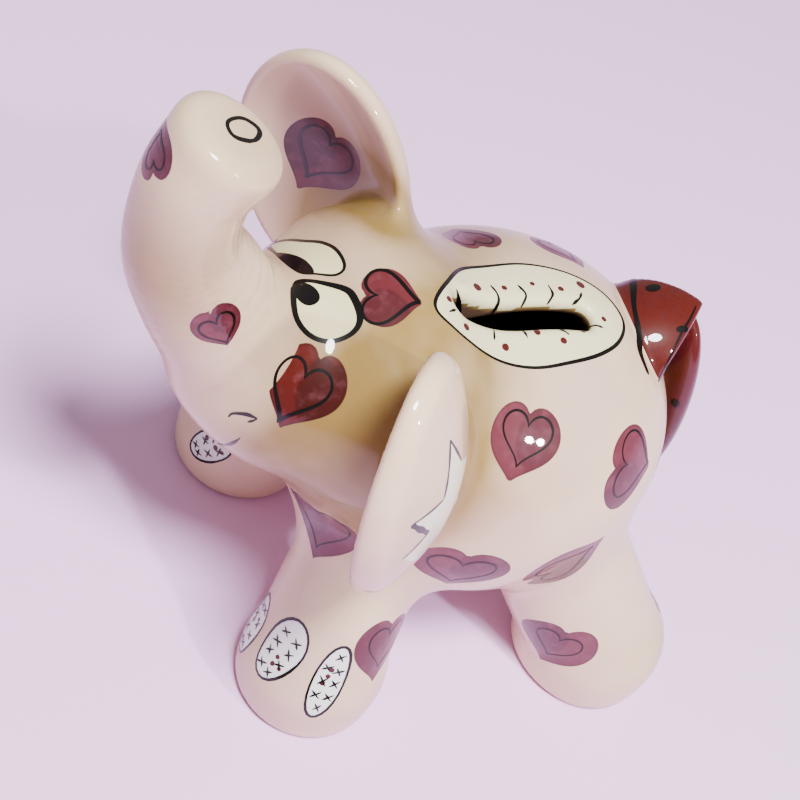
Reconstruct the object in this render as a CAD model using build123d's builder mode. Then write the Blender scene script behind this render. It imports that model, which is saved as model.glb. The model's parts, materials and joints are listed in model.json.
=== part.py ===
from build123d import *
import os
from math import cos, radians, sin

# An elephant-shaped money bank in glazed earthenware, in millimetres.
# The elephant faces -Y, its left side is +X, and it stands on z = 0.
# The body is slip-cast: the sections below are the ones a potter lutes together
# before firing, and each meets its neighbour face to face.
# Only the rubber stopper under the belly comes off.

# ---------------------------------------------------------------- driving sizes
wall = 5.0

barrel_y = 16.3
barrel_z = 62.5
barrel_half_length = 48.0
barrel_half_girth = 42.5

slot_length = 37.0
slot_width = 6.2
slot_x = 4.5
slot_y = 12.0

filler_radius = 13.0
filler_seat_radius = 17.0
filler_floor = 6.0

stopper_clearance = 0.3
stopper_flange_radius = 16.0
stopper_flange_thickness = 2.6
stopper_plug_height = 8.5
stopper_tab_length = 14.0
stopper_tab_width = 4.0
stopper_tab_height = 3.4
stopper_edge_round = 0.8

# Radius of the head at stations along Y, from the neck inside the barrel to the chin.
head_z = 84.0
head_stations = [
    (0.0, 12.0),
    (-6.0, 25.0),
    (-17.8, 33.0),
    (-31.2, 28.5),
    (-43.2, 20.8),
    (-52.0, 13.0),
    (-56.6, 6.0),
]

# Stations of the raised trunk: y, z, radius, and the lean of its axis from level.
trunk_stations = [
    (-46.2, 87.5, 15.2, 125.0),
    (-60.0, 109.5, 13.2, 113.0),
    (-67.2, 124.5, 11.0, 97.0),
    (-68.6, 140.5, 10.0, 82.0),
    (-64.1, 156.6, 9.6, 68.0),
]
trunk_rim_round = 2.4

# The ear is a dish, cut to an oval, with a root that runs in to the neck.
ear_centre = (44.5, -18.1, 101.5)
ear_turn = 41.6
ear_drop = 8.2
ear_half_height = 35.5
ear_half_width = 23.0
ear_thickness = 6.4
ear_dish_radius = 62.0
ear_root_in = 17.0
ear_root_down = 8.0
ear_root_half_width = 17.0
ear_root_half_height = 22.0

# Each leg runs from a point inside the barrel to the middle of its foot.
leg_ankle_z = 10.0
front_leg = {"top": (17.9, -7.6, 54.5), "top_radius": 14.2, "foot": (34.1, -17.0), "foot_radius": 17.7}
rear_leg = {"top": (17.2, 27.8, 59.5), "top_radius": 16.8, "foot": (36.6, 60.4), "foot_radius": 18.6}

tail_root_y = 54.6
tail_root_z = 89.7
tail_root_half_length = 17.0
tail_root_half_girth = 12.0
tail_y = 68.8
tail_z = 62.8
tail_half_width = 11.9
tail_half_length = 32.0
tail_half_thickness = 5.3
tail_edge_round = 4.4
tail_lean = 10.0

os.makedirs("parts", exist_ok=True)

belly_seat_z = barrel_z - (barrel_half_girth**2 - filler_seat_radius**2) ** 0.5
chamber_floor_z = belly_seat_z + filler_floor


def turned_oval(y, z, half_length, half_girth):
    """A solid oval turned about a level fore-and-aft axis."""
    with BuildPart() as oval:
        with BuildSketch(Plane(origin=(0, y, z), x_dir=(0, 1, 0), z_dir=(1, 0, 0))):
            with BuildLine():
                EllipticalCenterArc((0, 0), half_length, half_girth, start_angle=0, arc_size=180)
                Line((-half_length, 0), (half_length, 0))
            make_face()
        revolve(axis=Axis((0, y, z), (0, 1, 0)))
    return oval.part


def turned_head(inset):
    """The head's turned form, with every face pulled in by inset."""
    (back_y, back_radius), *middle, (front_y, front_radius) = head_stations
    stations = [(back_y - inset, back_radius), *middle, (front_y + inset, front_radius + inset / 2)]
    points = [(y, radius - inset) for y, radius in stations]
    with BuildPart() as head_form:
        with BuildSketch(Plane(origin=(0, 0, head_z), x_dir=(0, 1, 0), z_dir=(1, 0, 0))):
            with BuildLine():
                Spline(points)
                Polyline(points[-1], (points[-1][0], 0), (points[0][0], 0), points[0])
            make_face()
        revolve(axis=Axis((0, 0, head_z), (0, 1, 0)))
    return head_form.part


def leg_form(side, sizes, inset):
    """A stubby leg with a ball foot, cut level at the ground or, inside, at its floor."""
    top_x, top_y, top_z = sizes["top"]
    foot_x, foot_y = sizes["foot"]
    top = Vector(side * top_x, top_y, top_z)
    foot = Vector(side * foot_x, foot_y, leg_ankle_z)
    top_plane = Plane(origin=top, z_dir=foot - top)
    foot_plane = Plane(origin=foot, z_dir=foot - top)
    foot_radius = sizes["foot_radius"] - inset
    with BuildPart() as form:
        with BuildSketch(top_plane):
            Circle(sizes["top_radius"] - inset)
        with BuildSketch(foot_plane):
            Circle(foot_radius)
        loft()
        with Locations(foot):
            Sphere(foot_radius)
        with Locations((foot.X, foot.Y, inset)):
            Box(
                4 * foot_radius,
                4 * foot_radius,
                2 * foot_radius,
                align=(Align.CENTER, Align.CENTER, Align.MAX),
                mode=Mode.SUBTRACT,
            )
    return form.part


# ------------------------------------------------- faces that several pieces share
barrel_outside = turned_oval(barrel_y, barrel_z, barrel_half_length, barrel_half_girth)
barrel_inside = turned_oval(barrel_y, barrel_z, barrel_half_length - wall, barrel_half_girth - wall)
head_outside = turned_head(0)
head_inside = turned_head(wall)

# ---------------------------------------------- the cuts that cross two sections
with BuildPart() as hollow:
    add(barrel_inside)
    with Locations((0, barrel_y, chamber_floor_z)):
        Box(
            2 * barrel_half_girth,
            2 * barrel_half_length,
            barrel_half_girth,
            align=(Align.CENTER, Align.CENTER, Align.MAX),
            mode=Mode.SUBTRACT,
        )
    add(head_inside)

with BuildPart() as coin_slot:
    with BuildSketch(Plane.XY.offset(barrel_z)):
        with Locations((slot_x, slot_y)):
            SlotOverall(slot_length, slot_width, rotation=90)
    extrude(amount=2 * barrel_half_girth)

# ---------------------------------------------------------------------- torso
with BuildPart() as torso:
    add(barrel_outside)
    with Locations((0, barrel_y, belly_seat_z)):
        Box(
            2 * barrel_half_girth,
            2 * barrel_half_length,
            barrel_half_girth,
            align=(Align.CENTER, Align.CENTER, Align.MAX),
            mode=Mode.SUBTRACT,
        )
    add(hollow.part, mode=Mode.SUBTRACT)
    add(coin_slot.part, mode=Mode.SUBTRACT)
    with BuildSketch(Plane.XY.offset(barrel_z)):
        with Locations((0, barrel_y)):
            Circle(filler_radius)
    extrude(amount=-barrel_half_girth, mode=Mode.SUBTRACT)

torso.part.label = "torso"
export_step(torso.part, "parts/torso.step")

# ------------------------------------------------------------- head and trunk
with BuildPart() as head:
    add(head_outside)
    add(barrel_outside, mode=Mode.SUBTRACT)
    add(hollow.part, mode=Mode.SUBTRACT)
    add(coin_slot.part, mode=Mode.SUBTRACT)

head.part.label = "head"
export_step(head.part, "parts/head.step")

# The trunk is too slim for the slip to drain from, so it is cast solid.
with BuildPart() as trunk:
    for station_y, station_z, station_radius, station_lean in trunk_stations:
        along = (0, cos(radians(station_lean)), sin(radians(station_lean)))
        with BuildSketch(Plane(origin=(0, station_y, station_z), x_dir=(1, 0, 0), z_dir=along)):
            Circle(station_radius)
    loft()
    fillet(trunk.edges().sort_by(Axis.Z)[-1], trunk_rim_round)
    add(head_outside, mode=Mode.SUBTRACT)

trunk.part.label = "trunk"
export_step(trunk.part, "parts/trunk.step")

# ----------------------------------------------------------------------- ears
ear_x, ear_y, ear_z = ear_centre
ear_facing = Vector(
    -sin(radians(ear_turn)) * cos(radians(ear_drop)),
    -cos(radians(ear_turn)) * cos(radians(ear_drop)),
    -sin(radians(ear_drop)),
)
ear_inward = Vector(-cos(radians(ear_turn)), sin(radians(ear_turn)), 0)
ear_plane = Plane(origin=ear_centre, x_dir=ear_inward, z_dir=ear_facing)

with BuildPart() as ear_left:
    with BuildSketch(ear_plane):
        Ellipse(ear_half_width, ear_half_height)
        with Locations((ear_root_in, ear_plane.y_dir.Z * -ear_root_down)):
            Ellipse(ear_root_half_width, ear_root_half_height)
    extrude(amount=ear_half_height, both=True)
    with Locations(ear_plane.offset(ear_dish_radius)):
        Sphere(ear_dish_radius + ear_thickness / 2, mode=Mode.INTERSECT)
        Sphere(ear_dish_radius - ear_thickness / 2, mode=Mode.SUBTRACT)
    add(barrel_outside, mode=Mode.SUBTRACT)
    add(head_outside, mode=Mode.SUBTRACT)

with BuildPart() as ear_right:
    mirror(ear_left.part, about=Plane.YZ)

ear_left.part.label = "ear_left"
export_step(ear_left.part, "parts/ear_left.step")
ear_right.part.label = "ear_right"
export_step(ear_right.part, "parts/ear_right.step")

# ----------------------------------------------------------------------- legs
legs = {
    "leg_front_left": (1, front_leg),
    "leg_front_right": (-1, front_leg),
    "leg_rear_left": (1, rear_leg),
    "leg_rear_right": (-1, rear_leg),
}
for leg_name, (leg_side, leg_sizes) in legs.items():
    with BuildPart() as leg:
        add(leg_form(leg_side, leg_sizes, 0))
        add(leg_form(leg_side, leg_sizes, wall), mode=Mode.SUBTRACT)
        add(barrel_outside, mode=Mode.SUBTRACT)
        add(head_outside, mode=Mode.SUBTRACT)
    leg.part.label = leg_name
    export_step(leg.part, f"parts/{leg_name}.step")

# ----------------------------------------------------------------------- tail
tail_plane = Plane(origin=(0, tail_y, tail_z), x_dir=(1, 0, 0), z_dir=(0, -1, 0)).rotated((tail_lean, 0, 0))

with BuildPart() as tail:
    with BuildSketch(tail_plane):
        Ellipse(tail_half_width, tail_half_length)
    extrude(amount=tail_half_thickness, both=True)
    fillet(tail.edges(), tail_edge_round)
    add(turned_oval(tail_root_y, tail_root_z, tail_root_half_length, tail_root_half_girth))
    add(barrel_outside, mode=Mode.SUBTRACT)

tail.part.label = "tail"
export_step(tail.part, "parts/tail.step")

# -------------------------------------------------------------------- stopper
with BuildPart() as stopper:
    with BuildSketch(Plane.XY.offset(belly_seat_z)):
        with Locations((0, barrel_y)):
            Circle(stopper_flange_radius)
    extrude(amount=-stopper_flange_thickness)
    with BuildSketch(Plane.XY.offset(belly_seat_z)):
        with Locations((0, barrel_y)):
            Circle(filler_radius - stopper_clearance)
    extrude(amount=stopper_plug_height)
    chamfer(stopper.edges().sort_by(Axis.Z)[-1], stopper_edge_round)
    with BuildSketch(Plane.XY.offset(belly_seat_z - stopper_flange_thickness)):
        with Locations((0, barrel_y)):
            SlotOverall(stopper_tab_length, stopper_tab_width)
    extrude(amount=-stopper_tab_height)

stopper.part.label = "stopper"
export_step(stopper.part, "parts/stopper.step")
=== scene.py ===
import json
from math import cos, radians, sin

import bpy
import numpy as np
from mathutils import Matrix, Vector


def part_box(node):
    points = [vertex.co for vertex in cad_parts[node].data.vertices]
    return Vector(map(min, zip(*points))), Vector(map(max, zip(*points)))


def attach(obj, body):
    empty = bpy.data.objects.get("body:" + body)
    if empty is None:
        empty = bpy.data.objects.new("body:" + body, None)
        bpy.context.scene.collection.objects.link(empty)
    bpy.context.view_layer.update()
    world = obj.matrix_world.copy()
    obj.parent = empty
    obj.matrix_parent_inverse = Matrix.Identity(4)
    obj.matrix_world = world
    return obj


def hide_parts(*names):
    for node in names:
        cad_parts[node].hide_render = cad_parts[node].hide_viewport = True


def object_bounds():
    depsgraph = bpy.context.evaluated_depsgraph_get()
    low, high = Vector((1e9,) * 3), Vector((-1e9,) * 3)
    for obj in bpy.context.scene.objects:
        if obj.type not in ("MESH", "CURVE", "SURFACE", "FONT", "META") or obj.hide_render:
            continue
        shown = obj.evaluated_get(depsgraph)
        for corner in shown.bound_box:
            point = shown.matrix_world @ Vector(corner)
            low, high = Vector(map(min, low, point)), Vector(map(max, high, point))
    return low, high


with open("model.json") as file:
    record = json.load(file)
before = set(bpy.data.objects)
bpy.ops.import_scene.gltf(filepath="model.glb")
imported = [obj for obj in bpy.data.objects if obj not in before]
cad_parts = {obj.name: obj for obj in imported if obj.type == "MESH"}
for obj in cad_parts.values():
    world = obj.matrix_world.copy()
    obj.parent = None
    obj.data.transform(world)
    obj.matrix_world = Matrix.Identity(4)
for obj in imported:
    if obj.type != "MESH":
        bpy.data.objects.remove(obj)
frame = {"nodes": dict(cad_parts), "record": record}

import openvdb
from bpy.props import FloatProperty, FloatVectorProperty, IntProperty, PointerProperty
from mathutils import Matrix, Vector

CAD_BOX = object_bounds()

bl_info = {
    "name": "Hand-painted elephant money bank",
    "version": (1, 0, 0),
    "blender": (4, 5, 0),
    "location": "View3D > Sidebar > Bank",
    "description": "Builds a slip-cast elephant bank with underglaze hearts and a rubber stopper",
    "category": "Object",
}

MM = 0.001


# ---------------------------------------------------------- sizes and colours
def linear(hex_colour):
    """An sRGB hex colour as the linear values that shaders take."""
    parts = [int(hex_colour[i : i + 2], 16) / 255 for i in (1, 3, 5)]
    return [c / 12.92 if c <= 0.04045 else ((c + 0.055) / 1.055) ** 2.4 for c in parts]


def length(name, description, default_mm):
    """A length setting, given in millimetres and stored in metres."""
    return FloatProperty(name=name, description=description, default=default_mm * MM, min=0, unit="LENGTH")


def angle(name, description, degrees):
    return FloatProperty(name=name, description=description, default=radians(degrees), subtype="ANGLE")


def colour(name, description, hex_colour):
    return FloatVectorProperty(
        name=name, description=description, default=linear(hex_colour), size=3, min=0, max=1, subtype="COLOR"
    )


class BankSizes(bpy.types.PropertyGroup):
    """Sizes of the clay and of the brush work."""

    wall: length("Wall", "Thickness of the cast wall", 5.0)
    ear_thickness: length("Ear", "Thickness of the ears at their rims", 4.7)
    slot_length: length("Slot length", "Length of the coin slot", 37.0)
    slot_width: length("Slot width", "Width of the coin slot", 6.2)
    grain: length("Mesh grain", "Spacing of the points that the clay is meshed with", 1.0)
    line_width: length("Liner brush", "Width of a fine black line", 0.45)
    paint_lift: length("Paint lift", "How far painted marks stand off the clay", 0.07)


class BankColours(bpy.types.PropertyGroup):
    """Colours of the slip, the underglazes and the rubber, before the clear glaze."""

    slip: colour("Slip", "Pale slip of the whole body", "#E3C8A8")
    blush: colour("Blush", "Pink cast of the slip where it is thin", "#DAB8A8")
    # Painted shade: this tan darkens the clay in hollows, creases and the listed places, partly as glaze that pools
    # there. The stopper's rubber also takes it as a faint cloudy tint.
    tan_tint_and_shade: colour("Pooled glaze and shade", "Warm tint where the glaze pools, and painted shade in hollows and creases", "#8A703A")
    thin_wash: colour("Thin wash", "Maroon underglaze at its palest", "#7A4650")
    rose: colour("Rose wash", "Maroon underglaze in one stroke", "#602A36")
    maroon: colour("Maroon wash", "Maroon underglaze where strokes overlap", "#461924")
    oxblood: colour("Oxblood wash", "Redder strokes of the face, in one layer", "#4E130D")
    plum: colour("Plum wash", "Cooler maroon low on the tail", "#42121F")
    # Painted shade: this dark brown stands for the shade on the clay inside the bank, seen through the slot.
    inside_shade: colour("Shade inside", "Painted shade on the clay inside the bank, seen through the slot", "#4A352C")
    umber: colour("Umber wash", "Redder strokes of the face where they overlap", "#280806")
    ink: colour("Ink", "Black underglaze from the liner brush", "#030202")
    cream: colour("Cream", "Pale green-white of the eyes and the slot's surround", "#DAD0A0")
    nail: colour("Nail white", "Pale blue-white of the toenails", "#DDE0DC")
    rubber: colour("Stopper", "Translucent off-white rubber", "#D8D2C0")
    studio: colour("Studio", "Light that comes from all round the studio", "#F6EEEA")
    floor: colour("Floor", "Plain pale studio floor", "#EFC4F7")


def sizes():
    return bpy.context.scene.bank_sizes


def mm(name):
    """One of the sizes, in millimetres."""
    return getattr(sizes(), name) / MM


def shade(name):
    """One of the colours, with full opacity."""
    return (*getattr(bpy.context.scene.bank_colours, name), 1.0)


# ------------------------------------------------------------------ places
# Every place is a share of a CAD node's box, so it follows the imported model.
def node_box(node):
    """Lowest and highest corner of a node, in millimetres."""
    low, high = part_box(node)
    return np.array(low) / MM, np.array(high) / MM


def place(node, across, back, up):
    """A point at these shares of a node's box, in millimetres."""
    low, high = node_box(node)
    return low + (high - low) * np.array((across, back, up))


# ------------------------------------------------- distances to simple clay forms
# Points are arrays of millimetres, and every distance is negative inside the clay.
def unit(vector):
    vector = np.asarray(vector, float)
    return vector / np.linalg.norm(vector)


def soft_join(a, b, fillet):
    """Two forms joined with a thumbed-in fillet of clay."""
    share = np.clip(0.5 + 0.5 * (b - a) / fillet, 0, 1)
    return b + (a - b) * share - fillet * share * (1 - share)


def soft_cut(a, b, fillet):
    """Form a with form b cut away, its edge sponged round."""
    return -soft_join(-a, b, fillet)


def oval(p, centre, radii, tilt=0.0):
    """A solid oval, tilted about the left-right axis."""
    q = p - np.asarray(centre, float)
    if tilt:
        c, s = cos(radians(tilt)), sin(radians(tilt))
        q = np.stack([q[:, 0], c * q[:, 1] + s * q[:, 2], c * q[:, 2] - s * q[:, 1]], 1)
    radii = np.asarray(radii, float)
    near = np.linalg.norm(q / radii, axis=1)
    steep = np.linalg.norm(q / radii**2, axis=1)
    return near * (near - 1) / np.maximum(steep, 1e-9)


def roll(p, start, end, start_radius, end_radius):
    """A straight roll of clay whose radius changes evenly."""
    start, end = np.asarray(start, float), np.asarray(end, float)
    along = end - start
    share = np.clip((p - start) @ along / (along @ along), 0, 1)
    gap = np.linalg.norm(p - start - share[:, None] * along, axis=1)
    return gap - (start_radius + (end_radius - start_radius) * share)


def bent_roll(p, stations):
    """A curved roll through stations of (y, z, radius) on the middle plane."""
    nearest = np.full(len(p), 1e3)
    for (y0, z0, r0), (y1, z1, r1) in zip(stations[:-1], stations[1:]):
        nearest = np.minimum(nearest, roll(p, (0, y0, z0), (0, y1, z1), r0, r1))
    return nearest


def smooth_stations(stations, steps=6):
    """Stations spaced closely along a smooth curve through the given ones."""
    rows = np.array([stations[0], *stations, stations[-1]], float)
    rows[0] = 2 * rows[1] - rows[2]
    rows[-1] = 2 * rows[-2] - rows[-3]
    made = []
    for i in range(1, len(rows) - 2):
        a, b, c, d = rows[i - 1 : i + 3]
        for t in np.arange(steps) / steps:
            made.append(0.5 * (2 * b + (c - a) * t + (2 * a - 5 * b + 4 * c - d) * t**2
                               + (3 * b - a - 3 * c + d) * t**3))
    made.append(rows[-2])
    return [tuple(row) for row in made]


# --------------------------------------------------------- the elephant's forms
BARREL_LOW, BARREL_HIGH = node_box("torso")
HEAD_LOW, HEAD_HIGH = node_box("head")
TRUNK_LOW, TRUNK_HIGH = node_box("trunk")
TAIL_LOW, TAIL_HIGH = node_box("tail")
FRONT_LOW, FRONT_HIGH = node_box("leg_front_left")
REAR_LOW, REAR_HIGH = node_box("leg_rear_left")

BARREL_HALF_LENGTH = (BARREL_HIGH[1] - BARREL_LOW[1]) / 2
BARREL_RADII = (BARREL_HIGH[0] + 1.4, BARREL_HALF_LENGTH, BARREL_HIGH[0] - 1.3)
BARREL_CENTRE = (0, BARREL_LOW[1] + BARREL_HALF_LENGTH, BARREL_HIGH[2] - 42)
SEAT_Z = BARREL_LOW[2]

HEAD_AXIS_Z = HEAD_HIGH[2] - HEAD_HIGH[0]
SKULL_CENTRE = (0, HEAD_LOW[1] + 38.8, HEAD_AXIS_Z)
SKULL_RADII = (36.6, 24.6, 29.6)
MUZZLE_CENTRE = (0, HEAD_LOW[1] + 15.6, HEAD_AXIS_Z - 0.8)
MUZZLE_RADII = (20.9, 15.9, 18.9)
CHEEK_FILLET = 14.0

# From the face to the tip: distance behind the trunk's front, below its top, and radius.
TRUNK_STATIONS = smooth_stations([
    (TRUNK_LOW[1] + back, TRUNK_HIGH[2] - down, radius)
    for back, down, radius in ((30.2, 67.6, 14.9), (18.5, 48.9, 13.5), (11.4, 36, 11.3), (10.4, 20.5, 10.7), (13.7, 10.7, 11.3))
])
TRUNK_TIP_LEAN = 68.0
TRUNK_TIP_DROP = 4.5

# Each hand-pressed ear differs a little: its middle, the way it faces, the way to the head,
# half its height and width, and how deep it is dished. Both are given for the left side.
LEFT_EAR = (place("ear_left", 0.666, 0.54, 0.49), (-0.63, -0.76, -0.15), (-0.77, 0.61, 0.16), (34.4, 20.8), 9.5)
RIGHT_EAR = (place("ear_left", 0.607, 0.603, 0.538), (-0.63, -0.75, -0.19), (-0.78, 0.61, 0.14), (35.9, 22.7), 8.1)

FRONT_FOOT_RADIUS = 17.7
REAR_FOOT_RADIUS = 18.6
ANKLE_Z = 10.0
FRONT_FOOT = (FRONT_HIGH[0] - FRONT_FOOT_RADIUS, FRONT_LOW[1] + FRONT_FOOT_RADIUS, ANKLE_Z)
FRONT_HIP = (21.9, FRONT_FOOT[1] + 7, 43.5)
REAR_FOOT = (REAR_HIGH[0] - REAR_FOOT_RADIUS, REAR_HIGH[1] - REAR_FOOT_RADIUS, ANKLE_Z)
REAR_HIP = (21.9, REAR_FOOT[1] - 24.8, 47.5)

STOPPER_LOW, STOPPER_HIGH = node_box("stopper")
STOPPER_AXIS = (STOPPER_LOW + STOPPER_HIGH) / 2
SEAT_RADIUS = 17.0
FILLER_RADIUS = 13.0
STOPPER_TAB_HEIGHT = 3.4
STOPPER_RIB_PITCH = 2.8
SLOT_BOX = next(
    np.array(opening["box_m"]) / MM
    for opening in frame["record"]["physics"]["openings"]
    if opening["name"] == "coin_slot"
)

TAIL_ROOT = (0, TAIL_LOW[1] + 12.2, TAIL_HIGH[2] - 12)
TAIL_BLADE = (0, TAIL_HIGH[1] - 10.2, TAIL_LOW[2] + 31.8)
TAIL_CORNER = np.array((14.6, TAIL_LOW[1] + 7.1, TAIL_HIGH[2] - 12.3))
TAIL_FOLD = np.array((0, TAIL_LOW[1] + 21.0, TAIL_HIGH[2]))


def barrel(p):
    return oval(p, BARREL_CENTRE, BARREL_RADII)


def head(p):
    return soft_join(oval(p, SKULL_CENTRE, SKULL_RADII), oval(p, MUZZLE_CENTRE, MUZZLE_RADII), CHEEK_FILLET)


def trunk(p):
    """The raised trunk, its end sliced flat and sponged round."""
    y, z, _ = TRUNK_STATIONS[-1]
    beyond = (p[:, 1] - y) * cos(radians(TRUNK_TIP_LEAN)) + (p[:, 2] - z) * sin(radians(TRUNK_TIP_LEAN))
    return soft_cut(bent_roll(p, TRUNK_STATIONS), TRUNK_TIP_DROP - beyond, 3.2)


def ear_slab(p, centre, facing, inward, half_sizes, dish):
    """An even slab pressed to a dish and cut to an oval."""
    q = p - centre
    facing = unit(facing)
    up = unit(np.cross(inward, facing))
    inward = np.cross(facing, up)
    across, along, out = q @ inward, q @ up, q @ facing
    half_height, half_width = half_sizes
    half_thickness = mm("ear_thickness") / 2
    reach = np.sqrt((along / half_height) ** 2 + (across / half_width) ** 2)
    steep = np.sqrt((along / half_height**2) ** 2 + (across / half_width**2) ** 2)
    edge = reach * (reach - 1) / np.maximum(steep, 1e-6)
    slope_up, slope_in = 2 * dish * along / half_height**2, 2 * dish * across / half_width**2
    level = (out - dish * reach**2) / np.sqrt(1 + slope_up**2 + slope_in**2)
    return np.hypot(np.maximum(edge + half_thickness, 0), level) - half_thickness


def ear(p):
    """The ear on each point's own side of the elephant."""
    mirrored = np.abs(p) * (1, 0, 0) + p * (0, 1, 1)
    return np.where(p[:, 0] >= 0, ear_slab(mirrored, *LEFT_EAR), ear_slab(mirrored, *RIGHT_EAR))


def leg(p, hip, foot, hip_radius, foot_radius):
    """A leg that ends in a slightly swollen foot with steep sides."""
    below = np.maximum(ANKLE_Z - p[:, 2], 0)
    p = np.stack([p[:, 0], p[:, 1], p[:, 2] + 0.55 * below], 1)
    shin = roll(p, hip, foot, hip_radius, foot_radius - 1.0)
    return soft_join(shin, oval(p, foot, (foot_radius, foot_radius, foot_radius - 3)), 3.0)


def front_leg(p):
    return leg(p, FRONT_HIP, FRONT_FOOT, 15.1, FRONT_FOOT_RADIUS)


def rear_leg(p):
    return leg(p, REAR_HIP, REAR_FOOT, 17.3, REAR_FOOT_RADIUS)


def tail(p):
    """The hood-shaped root, folded over, and the blade that hangs from it."""
    root = oval(p, TAIL_ROOT, (14.1, 17.9, 10.6), tilt=13)
    ridge = TAIL_FOLD - TAIL_CORNER
    outward = unit((-ridge[1] * -1, -ridge[0], 0))
    root = soft_cut(root, -((np.stack([np.abs(p[:, 0]), p[:, 1], p[:, 2]], 1) - TAIL_CORNER) @ outward), 1.3)
    blade = oval(p, TAIL_BLADE, (11.9, 5.2, 32.4), tilt=10)
    return soft_join(root, blade, 1.2)


def outside(p):
    """The whole elephant as one solid form. Left and right differ only in the ears."""
    q = np.stack([np.abs(p[:, 0]), p[:, 1], p[:, 2]], 1)
    form = soft_join(barrel(q), front_leg(q), 9.0)
    form = soft_join(form, rear_leg(q), 9.0)
    face = soft_join(head(q), trunk(q), 12.0)
    form = soft_join(form, face, 12.0)
    form = soft_join(form, ear(p), 7.0)
    form = soft_join(form, tail(q), 1.6)
    return soft_cut(form, q[:, 2], 3.0)


def coin_slot(p):
    """The space of the coin slot, from the middle of the barrel up through its back."""
    low, high = SLOT_BOX
    straight = (mm("slot_length") - mm("slot_width")) / 2
    beyond = np.maximum(np.abs(p[:, 1] - (low[1] + high[1]) / 2) - straight, 0)
    across = np.hypot(p[:, 0] - (low[0] + high[0]) / 2, beyond) - mm("slot_width") / 2
    return np.maximum(across, BARREL_CENTRE[2] - p[:, 2])


def clay(p):
    """The fired clay: the form with its hollow, coin slot, stopper seat and stopper hole."""
    wall = mm("wall")
    chamber = np.maximum(oval(p, BARREL_CENTRE, np.array(BARREL_RADII) - wall), SEAT_Z + wall + 1 - p[:, 2])
    hollow = soft_join(chamber, oval(p, SKULL_CENTRE, np.array(SKULL_RADII) - wall), 3.0)
    from_filler = np.hypot(p[:, 0] - STOPPER_AXIS[0], p[:, 1] - STOPPER_AXIS[1])
    seat = np.maximum(from_filler - SEAT_RADIUS, p[:, 2] - SEAT_Z)
    filler = np.maximum(from_filler - FILLER_RADIUS, p[:, 2] - BARREL_CENTRE[2])
    form = soft_cut(outside(p), seat, 1.5)
    form = np.maximum(form, -hollow)
    form = soft_cut(form, coin_slot(p), 2.6)
    return soft_cut(form, filler, 0.8)


def stopper(p):
    """The rubber stopper: a round flange under the belly, a ribbed plug and a pull tab."""
    q = p - (STOPPER_AXIS[0], STOPPER_AXIS[1], STOPPER_LOW[2])
    from_axis = np.hypot(q[:, 0], q[:, 1])
    tab_top = STOPPER_TAB_HEIGHT
    flange_top = SEAT_Z - STOPPER_LOW[2]
    height = STOPPER_HIGH[2] - STOPPER_LOW[2]
    flange = slab(from_axis, q[:, 2], STOPPER_HIGH[0], tab_top, flange_top, 0.7)
    ribs = 0.25 * np.cos((q[:, 2] - flange_top) * 2 * np.pi / STOPPER_RIB_PITCH)
    plug = slab(from_axis, q[:, 2], FILLER_RADIUS - 0.75 + ribs, tab_top, height, 0.8)
    beyond = np.maximum(np.abs(q[:, 0]) - 5.0, 0)
    tab = slab(np.hypot(beyond, q[:, 1]), q[:, 2], 2.0, 0.0, tab_top + 1, 0.5)
    hollow = slab(from_axis, q[:, 2], FILLER_RADIUS - 4.5, height - 4.0, height + 9, 0.8)
    form = soft_join(soft_join(flange, tab, 0.8), plug, 0.5)
    return soft_cut(form, hollow, 0.6)


def slab(from_axis, z, radius, bottom, top, rounding):
    """A flat round block with rounded edges."""
    side = from_axis - radius + rounding
    level = np.abs(z - (bottom + top) / 2) - (top - bottom) / 2 + rounding
    return np.hypot(np.maximum(side, 0), np.maximum(level, 0)) + np.minimum(np.maximum(side, level), 0) - rounding


def slope(p, form=clay, step=0.05):
    """Which way the form's distance grows at each point, as unit vectors."""
    steps = np.array(((1, -1, -1), (-1, -1, 1), (-1, 1, -1), (1, 1, 1)), float)
    rise = sum(form(p + step * s)[:, None] * s for s in steps)
    return rise / np.maximum(np.linalg.norm(rise, axis=1), 1e-12)[:, None]


def onto(p, form=clay, rounds=4):
    """The points moved along the slope until they lie on the form's surface."""
    for _ in range(rounds):
        p = p - form(p)[:, None] * slope(p, form)
    return p


# ----------------------------------------------------------- from clay to meshes
def cast(form, low, high, spacing):
    """Points and triangles of a form that lies between two corners."""
    xs, ys, zs = (np.arange(low[i] - 3 * spacing, high[i] + 3 * spacing, spacing) for i in range(3))
    yz = np.stack(np.meshgrid(ys, zs, indexing="ij"), -1).reshape(-1, 2)
    field = np.empty((len(xs), len(ys), len(zs)), np.float32)
    for i, x in enumerate(xs):
        sheet = np.concatenate([np.full((len(yz), 1), x), yz], 1)
        field[i] = form(sheet).reshape(len(ys), len(zs))
    grid = openvdb.FloatGrid(background=3 * spacing)
    grid.copyFromArray(np.clip(field, -3 * spacing, 3 * spacing))
    points, quads = grid.convertToQuads(isovalue=0)
    points = points.astype(float) * spacing + (xs[0], ys[0], zs[0])
    quads = quads.astype(int)
    triangles = np.concatenate([quads[:, (0, 1, 2)], quads[:, (0, 2, 3)]])
    return onto(points, form, 3), triangles


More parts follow.
